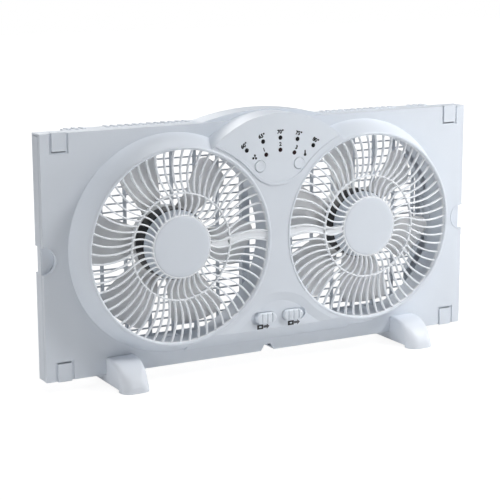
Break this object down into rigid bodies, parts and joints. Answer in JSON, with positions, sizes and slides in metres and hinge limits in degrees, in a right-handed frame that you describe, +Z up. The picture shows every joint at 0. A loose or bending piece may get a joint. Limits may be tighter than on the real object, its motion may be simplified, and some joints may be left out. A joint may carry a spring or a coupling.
{
  "type": "twin window fan",
  "caption": "Slim white window fan with side-by-side rotors behind spiral grilles, a raised control pod, slide switches, side extenders and clip-on feet.",
  "frame": {"origin": "on the floor, under the middle of the window flange, between the two feet", "axes": "+X to the right seen from the control side, +Y from the control side to the rear grille, +Z up"},
  "size_m": [0.597, 0.128, 0.32],
  "materials": {
    "shell_white": "satin moulded",
    "grille_white": "satin moulded",
    "blade_grey": "satin moulded",
    "motor_black": "satin paint",
    "black_plastic": "matte moulded",
    "steel": "zinc plated",
    "bronze": "sintered",
    "control_white": "semi-gloss moulded",
    "foot_gloss": "gloss moulded",
    "light_dark": "clear tinted",
    "light_red": "clear tinted",
    "board_green": "solder mask",
    "rubber_black": "matte"
  },
  "bodies": {
    "housing": {"front_bezel": "shell_white", "rear_housing": "shell_white", "rear_grille": "shell_white", "left_front_grille": "grille_white", "right_front_grille": "grille_white", "left_grille_cap": "grille_white", "right_grille_cap": "grille_white", "left_motor_cup": "shell_white", "right_motor_cup": "shell_white", "left_mount_screws": "steel", "right_mount_screws": "steel", "left_motor": "motor_black", "right_motor": "motor_black", "left_motor_screws": "steel", "right_motor_screws": "steel", "left_bearings": "bronze", "right_bearings": "bronze", "control_panel": "control_white", "control_board": "board_green", "board_screws": "steel", "temperature_lights": "light_dark", "speed_lights": "light_red", "left_switch_body": "control_white", "right_switch_body": "control_white", "corner_clips": "shell_white", "left_foot": "foot_gloss", "right_foot": "foot_gloss", "cord_gland": "rubber_black", "housing_screws": "steel", "rear_grille_screws": "steel"},
    "left_fan": {"left_rotor": "blade_grey", "left_shaft": "steel", "left_rotor_nut": "black_plastic"},
    "right_fan": {"right_rotor": "blade_grey", "right_shaft": "steel", "right_rotor_nut": "black_plastic"},
    "left_side_extender": {"left_extender": "shell_white"},
    "right_side_extender": {"right_extender": "shell_white"},
    "speed_key": {"speed_button": "control_white"},
    "temperature_key": {"temperature_button": "control_white"},
    "left_airflow_switch": {"left_switch_knob": "control_white"},
    "right_airflow_switch": {"right_switch_knob": "control_white"}
  },
  "joints": [
    {"name": "left_fan_spin", "type": "hinge", "parent": "housing", "child": "left_fan", "pos_m": [-0.13265, 0, 0.1654], "axis": [0, 1, 0], "continuous": true},
    {"name": "right_fan_spin", "type": "hinge", "parent": "housing", "child": "right_fan", "pos_m": [0.13265, 0, 0.1654], "axis": [0, 1, 0], "continuous": true},
    {"name": "left_extender_slide", "type": "slide", "parent": "housing", "child": "left_side_extender", "axis": [-1, 0, 0], "range_m": [0, 0.04]},
    {"name": "right_extender_slide", "type": "slide", "parent": "housing", "child": "right_side_extender", "axis": [1, 0, 0], "range_m": [0, 0.04]},
    {"name": "speed_key_press", "type": "slide", "parent": "housing", "child": "speed_key", "axis": [0, 1, 0], "range_m": [0, 0.0015], "stiffness_N_per_m": 400},
    {"name": "temperature_key_press", "type": "slide", "parent": "housing", "child": "temperature_key", "axis": [0, 1, 0], "range_m": [0, 0.0015], "stiffness_N_per_m": 400},
    {"name": "left_airflow_slide", "type": "slide", "parent": "housing", "child": "left_airflow_switch", "axis": [1, 0, 0], "range_m": [-0.006, 0]},
    {"name": "right_airflow_slide", "type": "slide", "parent": "housing", "child": "right_airflow_switch", "axis": [1, 0, 0], "range_m": [0, 0.006]}
  ]
}
